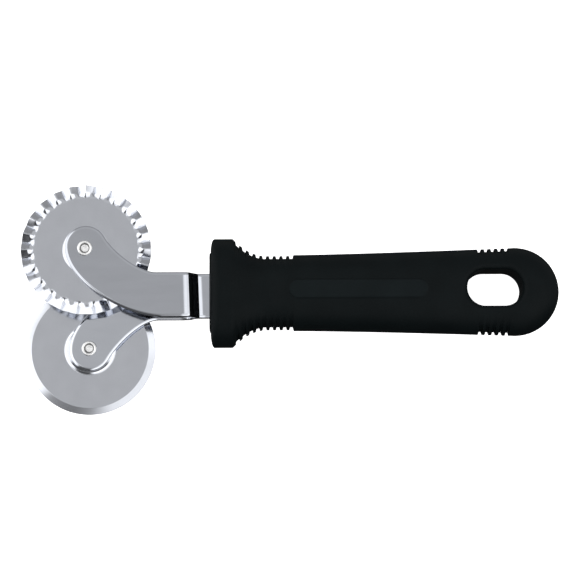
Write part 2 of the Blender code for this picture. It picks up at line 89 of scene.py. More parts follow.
# Spacing of the sections along the handle
TIP_STEPS = 8
FLARE_STEPS = 13
FLARE_STEP = 0.5 * MM
GRIP_STEPS = 57
GRIP_STEP = 1.25 * MM
BUTT_STEPS = 3
BUTT_STEP = 0.6 * MM
GROOVE_STATIONS = (0.0, 0.5, 0.6, 0.68, 0.76, 0.84, 0.92, 1.0)  # shares of half a groove

# Finger grooves on both edges
GROOVE_PITCH = 2.575 * MM
GROOVE_HALF = 0.82 * MM
GROOVE_FLOOR_SHARE = 0.6  # flat part of a groove's width
GROOVE_DEPTH = 1.2 * MM
GROOVE_FADE = 6  # how fast a groove fades away from the edge
GROOVE_ROUNDS = 6  # of settling on the section through a groove
GROOVE_RUNS = ((10.64 * MM, 9), (103.6 * MM, 5))  # where each run starts, and its grooves

# Hanging slot and label recess
SLOT_X = 109.1 * MM
SLOT_Y = 0.9 * MM
SLOT_LENGTH = 21.3 * MM
SLOT_WIDTH = 14.0 * MM
SLOT_ROUNDING = 2.2 * MM
SLOT_STEPS = 48
SLOT_WALL_SLACK = 0.06 * MM  # how near the cut's outline a point of its wall is
UPRIGHT = 0.2  # a wall's normal is flatter than this
TILT_STEP = 0.05 * MM  # to measure the grip's tilt at the slot's rim
LABEL_START = 30.8 * MM
LABEL_END = 83.0 * MM
LABEL_Y = 0.5 * MM
LABEL_HALF_WIDTH = 3.1 * MM
LABEL_DEPTH = 0.4 * MM
LABEL_SIDE = ((0.0, 0.0), (0.08, 0.15), (0.5, 0.9), (2.0, 1.6))  # mm above the floor, and out
LABEL_MASK_DEPTH = 3.0 * MM
LABEL_MASK_EDGE = 0.5 * MM

# Core and the pins through it
PLATE_SIZE = Vector((6.0, 30.2, 15.0)) * MM
PLUG_SIZE = Vector((40.0, 22.0, 13.0)) * MM
CORE_ROUNDING = 3.0 * MM
CORE_LIP = 0.35 * MM
CORE_LIP_STEPS = 5
SOCKET_CHAMFER = 0.45 * MM
SOCKET_FLARE = 1.4 * MM  # of the socket's cutter, at its outer end
POCKET_CHAMFER = 0.3 * MM
POCKET_CORNER = 0.3 * MM
POCKET_SPARE = 0.5 * MM  # room beyond the ends of the tangs
PIN_RADIUS = 2.0 * MM
PIN_LENGTH = 12.4 * MM
PIN_CHAMFER = 0.3 * MM
PIN_STEPS = 64
PIN_X = (12.0 * MM, 28.0 * MM)

# Fork
SHEET = 1.5 * MM
FORK_Y = -1.03 * MM
TANG_END = 35.0 * MM
TANG_LEVEL = 0.9 * MM  # middle of a tang's thickness
ARM_LEVEL = 7.1 * MM  # the same, beyond the joggle
JOGGLE_REACH = (-11.5 * MM, -1.4 * MM)  # from the flat of the arm to the flat of its tang
JOGGLE_BEND = (-8.8 * MM, -4.2 * MM)  # the steep part, which takes most of the drop
JOGGLE_SHARE = 0.72
JOGGLE_CUTS = 48
JOGGLE_SLANT = math.radians(2.0)  # of the bend lines, off square to the strip
STRAP_HALF_WIDTH = 8.6 * MM
STRAP_TOP_END = -20.5 * MM
STRAP_BOTTOM_END = -18.0 * MM
EYE_RADIUS = 8.0 * MM
EYE_OFFSET = Vector((0.3, 0.65)) * MM
EYE_STEP = 3  # degrees between points round the eye
THROAT_DEGREES = 30  # where the sweep's inner edge meets the eye
TOP_PULL = 6.0 * MM  # handles of the sweep's two curves
THROAT_PULL = 7.6 * MM
BACK_PULL = 13.0 * MM
BOTTOM_PULL = 15.0 * MM
INNER_STEPS = 40
OUTER_STEPS = 64
MITRE_LIMIT = 0.3  # for sharp corners
TANG_CUTTER_REACH = 5.0 * MM
HOLE_RADIUS = PIN_RADIUS + GAP
EDGE_RUN = 1.25 * MM  # width of a rounded edge
EDGE_FALL = 0.7 * MM
EDGE_STEPS = 8

# Wheels and axles
FLUTED_RADIUS = 25.0 * MM
PLAIN_RADIUS = 25.4 * MM
WHEEL_SHEET = 1.0 * MM
BOSS_HEIGHT = 2.5 * MM
PLAIN_BOSS_RADIUS = 10.2 * MM
FLUTED_BOSS_RADIUS = 9.2 * MM
BOSS_FOOT_FILLET = 2.54 * MM
BOSS_TOP_FILLET = 1.6 * MM
BOSS_SLOPE = math.radians(42)
BEVEL_WIDTH = 2.6 * MM
BEVEL_SHOULDER = 0.12 * MM  # soft edge where the bevel starts
SHOULDER_FALL = (0.015 * MM, 0.01 * MM)  # at the front and at the back
EDGE_THICK = 0.24 * MM
EDGE_LEVEL = -0.15 * MM  # ground back more in front
EDGE_CHAMFER = (0.08 * MM, 0.06 * MM)  # along the bevel, and into the rim
EDGE_FRONT_RISE = 0.02 * MM
PLAIN_DISC_RING = 4.0 * MM  # a ring of points this far inside the bevel
FLUTES = 24
FLUTE_HEIGHT = 0.95 * MM
FLUTE_START = 19.9 * MM
FLUTE_FULL = 22.5 * MM
FLUTE_RINGS = 12
RIM_RINGS = 3
DISC_RINGS = (12.5 * MM, 16.0 * MM, FLUTE_START - 0.4 * MM)  # keep the faces small
FLUTE_PLACES = (0.12, 0.19, 0.25, 0.31, 0.38)  # across a flank, in turns of the wave
CREST_PLACE = 0.03
SLOPE_STEP = 0.02  # in turns of the wave
FLUTE_BLUNT = 1.06  # above 1, the crests and troughs have a narrow flat
FLUTE_DROOP = 0.06  # how much the fluted rim slopes back, outwards
FLANK_THICKENING = 1.25  # at most, on a slope
RIM_CHAMFER = 0.06 * MM
WHEEL_STEPS = 256
BORE_RADIUS = 3.08 * MM
BUSH_RADIUS = 3.0 * MM
WHEEL_DROP = 3.4 * MM  # from the arm's back face to the middle of the disc
BUSH_LENGTH = 1.3 * MM
WASHER_RADIUS = 5.2 * MM
WASHER_THICK = 0.6 * MM
RING_RADIUS = 2.9 * MM
RING_HEIGHT = 0.75 * MM
PIT_RADIUS = 1.8 * MM
PIT_DEPTH = 1.3 * MM
PIT_FLOOR = ((0.0, 0.22), (0.5, 0.17), (1.0, 0.04))  # mm out, and up
PIT_FOOT = (0.5 * MM, 0.38 * MM)  # foot and bend, in from the pit's wall
PIT_BEND_HEIGHT = 0.08 * MM
PIT_LIP = 0.6 * MM  # below the ring's top
RING_CROWN = 0.55 * MM
RING_UNDERCUT = 0.12 * MM
RING_STEPS = 12
HEAD_RADIUS = 4.2 * MM
HEAD_THICK = 1.2 * MM
HEAD_EDGE = (0.15 * MM, 0.12 * MM)
HEAD_STEPS = 8
HUB_CHAMFER = 0.12 * MM
AXLE_STEPS = 96

grip_low, grip_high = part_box("handle_grip")
core_low, core_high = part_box("handle_core")
TOOL = Vector((core_low.x, (grip_low.y + grip_high.y) / 2, (grip_low.z + grip_high.z) / 2))
AXLES = {joint["child"]: Vector(joint["pos_m"]) for joint in frame["joints"]}


# ---- meshes

def mesh_of(bm, name):
    bmesh.ops.remove_doubles(bm, verts=bm.verts, dist=MERGE)
    bmesh.ops.recalc_face_normals(bm, faces=bm.faces)
    mesh = bpy.data.meshes.new(name)
    bm.to_mesh(mesh)
    bm.free()
    return mesh


def add_ring(bm, points):
    return [bm.verts.new(point) for point in points]


def join_rings(bm, ring, following):
    for i in range(len(ring)):
        j = (i + 1) % len(ring)
        bm.faces.new((ring[i], ring[j], following[j], following[i]))


def lofted(name, rings):
    """A closed mesh through rings of equally many points, with a flat face at each end."""
    bm = bmesh.new()
    loops = [add_ring(bm, ring) for ring in rings]
    for ring, following in zip(loops, loops[1:]):
        join_rings(bm, ring, following)
    bm.faces.new(loops[0])
    bm.faces.new(loops[-1])
    return mesh_of(bm, name)


def lathed(name, profile, steps, closed=False):
    """A profile of (radius, height) points turned about Z."""
    bm = bmesh.new()
    rings = []
    for radius, height in profile:
        if radius < MERGE:
            rings.append([bm.verts.new((0, 0, height))] * steps)
            continue
        angles = [math.tau * i / steps for i in range(steps)]
        rings.append(add_ring(bm, [(radius * math.cos(a), radius * math.sin(a), height)
                                   for a in angles]))
    pairs = list(zip(rings, rings[1:]))
    if closed:
        pairs.append((rings[-1], rings[0]))
    for ring, following in pairs:
        for i in range(steps):
            j = (i + 1) % steps
            corners = [ring[i], ring[j], following[j], following[i]]
            bm.faces.new(list(dict.fromkeys(corners)))
    return mesh_of(bm, name)


def carved(mesh, cutters):
    """The mesh with the shapes of the cutters taken out of it."""
    collection = bpy.context.scene.collection
    target = bpy.data.objects.new("target", mesh)
    collection.objects.link(target)
    tools = []
    for cutter in cutters:
        tool = bpy.data.objects.new("cutter", cutter)
        collection.objects.link(tool)
        tools.append(tool)
        boolean = target.modifiers.new("cut", "BOOLEAN")
        boolean.solver = "EXACT"
        boolean.object = tool
    graph = bpy.context.evaluated_depsgraph_get()
    result = bpy.data.meshes.new_from_object(target.evaluated_get(graph))
    for obj in (target, *tools):
        bpy.data.objects.remove(obj)
    return result


def add_piece(name, mesh, place, material, body, node, sharp_degrees=38):
    """A finished piece, which rides on its body in place of its CAD node."""
    mesh.materials.clear()
    mesh.materials.append(material)
    mesh.shade_smooth()
    mesh.set_sharp_from_angle(angle=math.radians(sharp_degrees))
    piece = bpy.data.objects.new(name, mesh)
    piece.location = place
    bpy.context.scene.collection.objects.link(piece)
    weighted = piece.modifiers.new("even_shading", "WEIGHTED_NORMAL")
    weighted.keep_sharp = True
    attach(piece, body)
    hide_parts(node)


def quarter(steps):
    """(sine, one minus cosine) round a quarter turn, for rounded edges."""
    for step in range(steps + 1):
        angle = math.pi / 2 * step / steps
        yield math.sin(angle), 1 - math.cos(angle)


def rounded_rectangle(half_y, half_z, radius, steps=8):
    points = []
    for quadrant, (side_y, side_z) in enumerate(((1, 1), (-1, 1), (-1, -1), (1, -1))):
        for step in range(steps + 1):
            angle = math.pi / 2 * (quadrant + step / steps)
            points.append((side_y * (half_y - radius) + radius * math.cos(angle),
                           side_z * (half_z - radius) + radius * math.sin(angle)))
    return points


def box_ring(x, size, rounding, inset=0.0):
    """A ring across X with the outline of a box of that size, shrunk by inset."""
    radius = max(rounding - inset, LEAST_ROUNDING)
    outline = rounded_rectangle(size.y / 2 - inset, size.z / 2 - inset, radius)
    return [(x, y, z) for y, z in outline]


def stadium(centre_x, centre_y, length, width, steps=24):
    radius = width / 2
    points = []
    for end in (1, -1):
        for step in range(steps + 1):
            angle = -math.pi / 2 + math.pi * step / steps + (0 if end > 0 else math.pi)
            points.append((centre_x + end * (length / 2 - radius) + radius * math.cos(angle),
                           centre_y + radius * math.sin(angle)))
    return points


def cylinder(name, x, y, radius, low, high, steps=48):
    ring = [(x + radius * math.cos(math.tau * i / steps),
             y + radius * math.sin(math.tau * i / steps)) for i in range(steps)]
    return lofted(name, [[(px, py, z) for px, py in ring] for z in (low, high)])


# ---- handle

def smooth_step(x, start, end):
    t = min(max((x - start) / (end - start), 0.0), 1.0)
    return t * t * (3 - 2 * t)


def groove_depth(x):
    """How deep a finger groove is at x along the edge of the handle."""
    for start, count in GROOVE_RUNS:
        nearest = min(max(round((x - start) / GROOVE_PITCH), 0), count - 1)
        away = abs(x - start - nearest * GROOVE_PITCH) / GROOVE_HALF
        if away < 1.0:
            return GROOVE_DEPTH * smooth_step(1 - away, 0.0, 1 - GROOVE_FLOOR_SHARE)
    return 0.0


def flare(x):
    return (max(NECK_X - x, 0.0) / (NECK_X - COLLAR_BACK)) ** 2


def front_rounding(x, length):
    t = min(max((x - COLLAR_FRONT) / length, 0.0), 1.0)
    return 1 - math.sqrt(1 - (1 - t) ** 2)


def half_width(x):
    if x < NECK_END:
        width = NECK_HALF_WIDTH + (COLLAR_HALF_WIDTH - NECK_HALF_WIDTH) * flare(x)
        width = min(width, COLLAR_HALF_WIDTH)
        return width - COLLAR_TIP_NARROWING * front_rounding(x, COLLAR_ROUNDING)
    along = (x - NECK_END) / (BUTT_X - NECK_END)
    spread = BUTT_RADIUS - GRIP_START_HALF_WIDTH
    return GRIP_START_HALF_WIDTH + spread * along ** GRIP_SPREAD_POWER


def half_thickness(x):
    flared = (COLLAR_HALF_THICK - NECK_HALF_THICK) * min(flare(x), 1.0)
    swell = (GRIP_HALF_THICK - NECK_HALF_THICK) * smooth_step(x, NECK_X, LABEL_START)
    thinning = (GRIP_HALF_THICK - BUTT_HALF_THICK) * smooth_step(x, LABEL_END, SLOT_X)
    rounded = COLLAR_TIP_THINNING * front_rounding(x, COLLAR_BEVEL)
    return NECK_HALF_THICK + flared + swell - thinning - rounded


def grip_height(x, y):
    """Height of the grip's front above the middle plane at a point seen from the front."""
    groove = groove_depth(x)
    if x > BUTT_X:
        y = math.hypot(x - BUTT_X, y)
        x, groove = BUTT_X, 0.0
    share = abs(y) / half_width(x)
    for _ in range(GROOVE_ROUNDS):
        share = (abs(y) + groove * share ** GROOVE_FADE) / half_width(x)
    rounded = max(share - FLAT_SHARE, 0.0) / (1 - FLAT_SHARE)
    return half_thickness(x) * max(1 - rounded ** SECTION_POWER, 0.0) ** (1 / SECTION_POWER)


def section_shape():
    """Half a section as (width share, thickness share, inset), from top to bottom."""
    upper = [(0.0, 1.0, 0.0)]
    for step in range(SECTION_STEPS):
        angle = math.pi / 2 * (1 - step / SECTION_STEPS)
        share = max(math.cos(angle), 0.0) ** (2 / SECTION_POWER)
        height = math.sin(angle) ** (2 / SECTION_POWER)
        upper.append((FLAT_SHARE + (1 - FLAT_SHARE) * share, height, 0.0))
    upper.append((1.0, PARTING_SHARE, 0.0))
    lower = [(share, -height, inset) for share, height, inset in reversed(upper)]
    return upper + [(1.0, 0.0, PARTING_LINE)] + lower


def handle_stations():
    stations = [COLLAR_FRONT + COLLAR_ROUNDING * (1 - sine)
                for sine, _ in quarter(TIP_STEPS)]
    stations += [COLLAR_FRONT + COLLAR_ROUNDING + i * FLARE_STEP
                 for i in range(1, FLARE_STEPS + 1)]
    for start, count in GROOVE_RUNS:
        for groove in range(count):
            middle = start + groove * GROOVE_PITCH
            for share in GROOVE_STATIONS:
                stations += [middle - GROOVE_HALF * share, middle + GROOVE_HALF * share]
    stations.append(COLLAR_BACK)
    stations += [NECK_END + i * GRIP_STEP for i in range(GRIP_STEPS)]
    start, count = GROOVE_RUNS[-1]
    last_groove_end = start + (count - 1) * GROOVE_PITCH + GROOVE_HALF
    stations += [last_groove_end + i * BUTT_STEP for i in range(1, BUTT_STEPS + 1)]
    stations.append(BUTT_X)
    return sorted(set(x for x in stations if x <= BUTT_X))


def grip_blank():
    """The grip before it is cut: both halves, each with its half of the round butt."""
    shape = section_shape()
    bm = bmesh.new()
    for side in (1, -1):
        rows = []
        for x in handle_stations():
            wide, thick, groove = half_width(x), half_thickness(x), groove_depth(x)
            rows.append([(x, side * (wide * share - groove * share ** GROOVE_FADE - inset),
                          thick * height) for share, height, inset in shape])
        for step in range(CAP_STEPS - 1, -1, -1):
            angle = math.pi / 2 * step / CAP_STEPS
            thick = half_thickness(BUTT_X)
            rows.append([(BUTT_X + (BUTT_RADIUS * share - inset) * math.cos(angle),
                          side * (BUTT_RADIUS * share - inset) * math.sin(angle),
                          thick * height) for share, height, inset in shape])
        grid = [add_ring(bm, row) for row in rows]
        for row, following in zip(grid, grid[1:]):
            for j in range(len(shape) - 1):
                bm.faces.new((row[j], following[j], following[j + 1], row[j + 1]))
        bm.faces.new(grid[0])
    bmesh.ops.remove_doubles(bm, verts=bm.verts, dist=MERGE)
    bmesh.ops.dissolve_degenerate(bm, edges=bm.edges, dist=MERGE)
    front = [f for f in bm.faces if all(v.co.x < COLLAR_FRONT + MERGE for v in f.verts)]
    bmesh.ops.dissolve_faces(bm, faces=front)
    return mesh_of(bm, "grip")


def socket_cutter():
    """The socket for the core, with a chamfered mouth."""
    mouth = COLLAR_FRONT + SOCKET_CHAMFER
    clearance = Vector((0, 2 * GAP, 2 * GAP))
    plate = PLATE_SIZE + clearance
    plug = PLUG_SIZE + clearance
    rings = [box_ring(-CUTTER_SPARE, plate, CORE_ROUNDING, -SOCKET_FLARE),
             box_ring(mouth, plate, CORE_ROUNDING),
             box_ring(PLATE_SIZE.x + GAP, plate, CORE_ROUNDING),
             box_ring(PLATE_SIZE.x + GAP, plug, CORE_ROUNDING),
             box_ring(PLUG_SIZE.x + GAP, plug, CORE_ROUNDING)]
    return lofted("socket", rings)


def label_cutter():
    """The label's shallow recess, with sloping sides."""
    floor = GRIP_HALF_THICK - LABEL_DEPTH
    rings = []
    for rise, out in LABEL_SIDE:
        level, spread = floor + rise * MM, out * MM
        outline = stadium((LABEL_START + LABEL_END) / 2, LABEL_Y,
                          LABEL_END - LABEL_START + 2 * spread,
                          2 * (LABEL_HALF_WIDTH + spread))
        rings.append([(x, y, level) for x, y in outline])
    return lofted("label", rings)


def slot_way_out(x, y):
    """Unit vector from the slot's middle line out through (x, y), and the distance."""
    reach = (SLOT_LENGTH - SLOT_WIDTH) / 2
    nearest = min(max(x, SLOT_X - reach), SLOT_X + reach)
    away = Vector((x - nearest, y - SLOT_Y))
    return away.normalized(), away.length


def round_the_slot(mesh):
    """Turns the oversize cut at the slot into a slot with well rounded rims."""
    bm = bmesh.new()
    bm.from_mesh(mesh)
    outer = SLOT_WIDTH / 2 + SLOT_ROUNDING
    on_wall = {v for v in bm.verts
               if abs(slot_way_out(v.co.x, v.co.y)[1] - outer) < SLOT_WALL_SLACK
               and abs(v.co.x - SLOT_X) < SLOT_LENGTH}
    walls = [f for f in bm.faces
             if abs(f.normal.z) < UPRIGHT and all(v in on_wall for v in f.verts)]
    bmesh.ops.delete(bm, geom=walls, context="FACES")
    rims = [e for e in bm.edges if e.is_boundary]
    last_rings = []
    for side in (1, -1):
        rim = [e for e in rims if e.verts[0].co.z * side > 0]
        last_rings.append(fillet_rings(bm, ordered_loop(rim), side))
    edges = [bm.edges.get((ring[i], ring[(i + 1) % len(ring)]))
             for ring in last_rings for i in range(len(ring))]
    bmesh.ops.bridge_loops(bm, edges=edges)
    return mesh_of(bm, "grip")


def ordered_loop(edges):
    """The vertices of one closed chain of edges, in order."""
    joined = {}
    for edge in edges:
        for vert in edge.verts:
            joined.setdefault(vert, []).append(edge.other_vert(vert))
    loop = [edges[0].verts[0], edges[0].verts[1]]
    while True:
        onward = [v for v in joined[loop[-1]] if v is not loop[-2]][0]
        if onward is loop[0]:
            return loop
        loop.append(onward)


def fillet_rings(bm, loop, side, steps=12):
    """Rings that roll over from the grip's surface at the loop into the slot's wall."""
    rings = [loop]
    arcs = []
    for vert in loop:
        out, distance = slot_way_out(vert.co.x, vert.co.y)
        here = grip_height(vert.co.x, vert.co.y)
        further = grip_height(vert.co.x + out.x * TILT_STEP, vert.co.y + out.y * TILT_STEP)
        tilt = math.atan2(here - further, TILT_STEP)
        radius = (distance - SLOT_WIDTH / 2) / (1 + math.sin(tilt))
        arcs.append((vert.co.copy(), out, tilt, radius))
    for number in range(1, steps + 1):
        points = []
        for place, out, tilt, radius in arcs:
            angle = tilt + (-math.pi / 2 - tilt) * number / steps
            along = radius * (math.sin(angle) - math.sin(tilt))
            down = radius * (math.cos(tilt) - math.cos(angle))
            points.append((place.x + out.x * along, place.y + out.y * along,
                           place.z - side * down))
        rings.append(add_ring(bm, points))
    for ring, following in zip(rings, rings[1:]):
        join_rings(bm, ring, following)
    return rings[-1]


def build_grip(material):
    opening = stadium(SLOT_X, SLOT_Y, SLOT_LENGTH + 2 * SLOT_ROUNDING,
                      SLOT_WIDTH + 2 * SLOT_ROUNDING, SLOT_STEPS)
    slot = lofted("slot", [[(x, y, z) for x, y in opening] for z in (-CUTTER_REACH, CUTTER_REACH)])
    mesh = carved(grip_blank(), [socket_cutter(), label_cutter(), slot])
    add_piece("moulded_grip", round_the_slot(mesh), TOOL, material,
              "handle_and_fork", "handle_grip", 30)


def build_core(material):
    """The inner moulding: front plate and plug, with a pocket for the tangs."""
    plug_start = PLATE_SIZE.x
    rings = []
    for sine, fall in quarter(CORE_LIP_STEPS):
        rings.append(box_ring(CORE_LIP * fall, PLATE_SIZE, CORE_ROUNDING,
                              CORE_LIP * (1 - sine)))
    rings += [box_ring(plug_start, PLATE_SIZE, CORE_ROUNDING),
              box_ring(plug_start, PLUG_SIZE, CORE_ROUNDING),
              box_ring(PLUG_SIZE.x - CORE_LIP, PLUG_SIZE, CORE_ROUNDING),
              box_ring(PLUG_SIZE.x, PLUG_SIZE, CORE_ROUNDING, CORE_LIP)]
    pocket = Vector((0, STRAP_HALF_WIDTH * 2 + 2 * GAP, 2 * (TANG_LEVEL + SHEET / 2 + GAP)))
    pocket_rings = [box_ring(-CUTTER_SPARE, pocket, POCKET_CORNER,
                             -POCKET_CHAMFER - CUTTER_SPARE),
                    box_ring(POCKET_CHAMFER, pocket, POCKET_CORNER),
                    box_ring(TANG_END + POCKET_SPARE, pocket, POCKET_CORNER)]
    pocket_rings = [[(x, y + FORK_Y, z) for x, y, z in ring] for ring in pocket_rings]
    cutters = [lofted("pocket", pocket_rings)]
    cutters += [cylinder("pin_hole", x, FORK_Y, HOLE_RADIUS, -CUTTER_REACH, CUTTER_REACH)
                for x in PIN_X]
    add_piece("moulded_core", carved(lofted("core", rings), cutters), TOOL, material,
              "handle_and_fork", "handle_core", 30)


# ---- fork

def bezier(a, b, c, d, steps):
    for step in range(steps + 1):
        t = step / steps
        s = 1 - t
        yield a * s ** 3 + b * 3 * s * s * t + c * 3 * s * t * t + d * t ** 3


def arm_outline(eye):
    """An arm seen from the front with its eye at +Y, as evenly spaced points."""
    centre = eye + EYE_OFFSET
    throat_angle = math.radians(THROAT_DEGREES)
    throat = centre + EYE_RADIUS * Vector((math.cos(throat_angle), math.sin(throat_angle)))
    inward = Vector((math.sin(throat_angle), -math.cos(throat_angle)))
    back = centre + Vector((-EYE_RADIUS, 0))
    top = Vector((STRAP_TOP_END, STRAP_HALF_WIDTH))
    bottom = Vector((STRAP_BOTTOM_END, -STRAP_HALF_WIDTH))
    outline = [Vector((TANG_END, STRAP_HALF_WIDTH))]
    outline += bezier(top, top + Vector((-TOP_PULL, 0)), throat + inward * THROAT_PULL,
                      throat, INNER_STEPS)
    for degrees in range(THROAT_DEGREES + EYE_STEP, 180, EYE_STEP):
        angle = math.radians(degrees)
        outline.append(centre + EYE_RADIUS * Vector((math.cos(angle), math.sin(angle))))
    outline += bezier(back, back + Vector((0, -BACK_PULL)),
                      bottom + Vector((-BOTTOM_PULL, 0)), bottom, OUTER_STEPS)
    outline.append(Vector((TANG_END, -STRAP_HALF_WIDTH)))
    return outline


def shrunk(outline, inset):
    """A counter-clockwise outline moved inwards."""
    points = []
    for i, point in enumerate(outline):
        before = (point - outline[i - 1]).normalized()
        after = (outline[(i + 1) % len(outline)] - point).normalized()
        mean = (before + after).normalized()
        reach = inset / max(mean.dot(after), MITRE_LIMIT)
        points.append(point + Vector((-mean.y, mean.x)) * reach)
    return points


def eased(x, start, end):
    """From 0 at start to 1 at end, with no bend at either, and how fast it rises."""
    t = min(max((x - start) / (end - start), 0.0), 1.0)
    return t ** 3 * (10 - 15 * t + 6 * t * t), 30 * (t * (1 - t)) ** 2 / (end - start)


def rise_and_slope(x):
    """Rise share of the joggle at x, and how fast it changes there."""
    steep, steep_slope = eased(x, *JOGGLE_BEND)
    gentle, gentle_slope = eased(x, *JOGGLE_REACH)
    return (1 - JOGGLE_SHARE * steep - (1 - JOGGLE_SHARE) * gentle,
            -JOGGLE_SHARE * steep_slope - (1 - JOGGLE_SHARE) * gentle_slope)


def bend(bm):
    """Bends the flat strip through its joggle, keeping its thickness."""
    for vert in bm.verts:
        x = vert.co.x + vert.co.y * math.tan(JOGGLE_SLANT)
        share, slope = rise_and_slope(x)
        drop = ARM_LEVEL - TANG_LEVEL
        tilt = math.atan(-slope * drop)
        through = vert.co.z
        vert.co.x += math.sin(tilt) * through
        vert.co.z = TANG_LEVEL + drop * share + math.cos(tilt) * through


def arm_blank(name, eye):
    bm = bmesh.new()
    outline = arm_outline(eye)
    levels = [(EDGE_RUN * (1 - sine), SHEET / 2 - EDGE_FALL * fall)
              for sine, fall in quarter(EDGE_STEPS)]
    levels += [(inset, -level) for inset, level in reversed(levels)]
    rings = []
    for inset, level in levels:
        ring = shrunk(outline, inset)
        rings.append(add_ring(bm, [(p.x, p.y, level) for p in ring]))
    for ring, following in zip(rings, rings[1:]):
        join_rings(bm, ring, following)
    bm.faces.new(rings[0])
    bm.faces.new(rings[-1])
    across = Vector((math.cos(JOGGLE_SLANT), math.sin(JOGGLE_SLANT), 0))
    start, end = JOGGLE_REACH
    for step in range(JOGGLE_CUTS + 1):
        x = start + (end - start) * step / JOGGLE_CUTS
        everything = bm.verts[:] + bm.edges[:] + bm.faces[:]
        bmesh.ops.bisect_plane(bm, geom=everything, dist=MERGE, plane_no=across,
                               plane_co=(x, 0, 0))
    bend(bm)
    return mesh_of(bm, name)


def build_arm(name, node, body, side, material):
    """side is 1 for the upper arm, and -1 for the lower one, which is turned over."""
    axle = AXLES[body] - TOOL
    eye = Vector((axle.x, side * (axle.y - FORK_Y)))
    blank = arm_blank(name, eye)
    holes = [cylinder("hole", eye.x, eye.y, HOLE_RADIUS, 0, CUTTER_REACH)]
    holes += [cylinder("hole", x, 0, HOLE_RADIUS, -TANG_CUTTER_REACH, TANG_CUTTER_REACH)
              for x in PIN_X]
    mesh = carved(blank, holes)
    if side < 0:
        mesh.transform(Matrix.Rotation(math.pi, 4, "X"))
    add_piece(name, mesh, TOOL + Vector((0, FORK_Y, 0)), material,
              "handle_and_fork", node, 30)


# ---- wheels and axles

def boss_profile(foot_radius, steps=10):
    """Middle surface of a wheel's raised centre, from its bore to the foot of the boss.

    Gives (radius, height, slope): a straight cone between two fillets."""
    fillets = BOSS_TOP_FILLET + BOSS_FOOT_FILLET
    straight = BOSS_HEIGHT - fillets * (1 - math.cos(BOSS_SLOPE))
    cone_run = straight / math.tan(BOSS_SLOPE)
    top_radius = foot_radius - cone_run - fillets * math.sin(BOSS_SLOPE)
    points = [(BORE_RADIUS, BOSS_HEIGHT, 0.0)]
    for step in range(steps + 1):
        slope = BOSS_SLOPE * step / steps
        points.append((top_radius + BOSS_TOP_FILLET * math.sin(slope),
                       BOSS_HEIGHT - BOSS_TOP_FILLET * (1 - math.cos(slope)), slope))
    for step in range(steps + 1):
        slope = BOSS_SLOPE * (1 - step / steps)
        points.append((foot_radius - BOSS_FOOT_FILLET * math.sin(slope),
                       BOSS_FOOT_FILLET * (1 - math.cos(slope)), slope))
    return points


def boss_sides(foot_radius):
    """(radius, height) of the boss's front from the bore outwards, and of its back."""
    half = WHEEL_SHEET / 2
    front = [(radius + half * math.sin(slope), height + half * math.cos(slope))
             for radius, height, slope in boss_profile(foot_radius)]
    back = [(radius - half * math.sin(slope), height - half * math.cos(slope))
            for radius, height, slope in boss_profile(foot_radius)]
    return front, back


def fluting(turn):
    """Wave from -1 to 1 with flat flanks and slightly blunt crests, one for each turn."""
    wave = 4 * abs(turn % 1.0 - 0.5) - 1
    return max(min(wave * FLUTE_BLUNT, 1.0), -1.0)


def flute_lift(radius, turn):
    """Height of the fluted rim's middle surface."""
    share = smooth_step(radius, FLUTE_START, FLUTE_FULL)
    return (FLUTE_HEIGHT * share * fluting(turn)
            - FLUTE_DROOP * max(radius - FLUTE_START, 0.0))


def flute_radii():
    run = FLUTE_FULL - FLUTE_START
    radii = list(DISC_RINGS)
    radii += [FLUTE_START + run * step / FLUTE_RINGS for step in range(FLUTE_RINGS + 1)]
    left = FLUTED_RADIUS - RIM_CHAMFER - FLUTE_FULL
    radii += [FLUTE_FULL + left * step / RIM_RINGS for step in range(1, RIM_RINGS + 1)]
    return radii


def flute_turns():
    """Places round the rim in turns of the wave, closer together at crests and troughs."""
    edge = (1 - 1 / FLUTE_BLUNT) / 4
    within = (0.0, edge, edge + CREST_PLACE, *FLUTE_PLACES, 0.5 - CREST_PLACE - edge,
              0.5 - edge)
    return [flute + half + place for flute in range(FLUTES) for half in (0.0, 0.5)
            for place in within]


def fluted_wheel_mesh():
    """Front and back surfaces of equal thickness, joined at the bore and at the rim."""
    half = WHEEL_SHEET / 2
    turns = flute_turns()

    def ring(bm, radius, height_at):
        points = []
        for turn in turns:
            angle = math.tau * turn / FLUTES
            points.append((radius * math.cos(angle), radius * math.sin(angle),
                           height_at(radius, turn)))
        return add_ring(bm, points)

    def fluted_side(radius, turn, side):
        arc = 2 * SLOPE_STEP * math.tau * radius / FLUTES
        rise = flute_lift(radius, turn + SLOPE_STEP) - flute_lift(radius, turn - SLOPE_STEP)
        thickening = min(math.hypot(rise / arc, 1.0), FLANK_THICKENING)
        return flute_lift(radius, turn) + side * half * thickening

    bm = bmesh.new()
    front, back = boss_sides(FLUTED_BOSS_RADIUS)
    rings = [ring(bm, radius, lambda r, turn, z=height: z) for radius, height in front]
    rings += [ring(bm, radius, lambda r, turn: fluted_side(r, turn, 1))
              for radius in flute_radii()]
    rings.append(ring(bm, FLUTED_RADIUS,
                      lambda r, turn: fluted_side(r, turn, 1) - RIM_CHAMFER))
    rings.append(ring(bm, FLUTED_RADIUS,
                      lambda r, turn: fluted_side(r, turn, -1) + RIM_CHAMFER))
    rings += [ring(bm, radius, lambda r, turn: fluted_side(r, turn, -1))
              for radius in reversed(flute_radii())]
    rings += [ring(bm, radius, lambda r, turn, z=height: z)
              for radius, height in reversed(back)]
    for ring_here, following in zip(rings, rings[1:] + rings[:1]):
        join_rings(bm, ring_here, following)
    return mesh_of(bm, "fluted_cutting_wheel")


def build_fluted_wheel(material):
    add_piece("fluted_cutting_wheel", fluted_wheel_mesh(), AXLES["fluted_wheel"],
              material, "fluted_wheel", "fluted_wheel", 26)


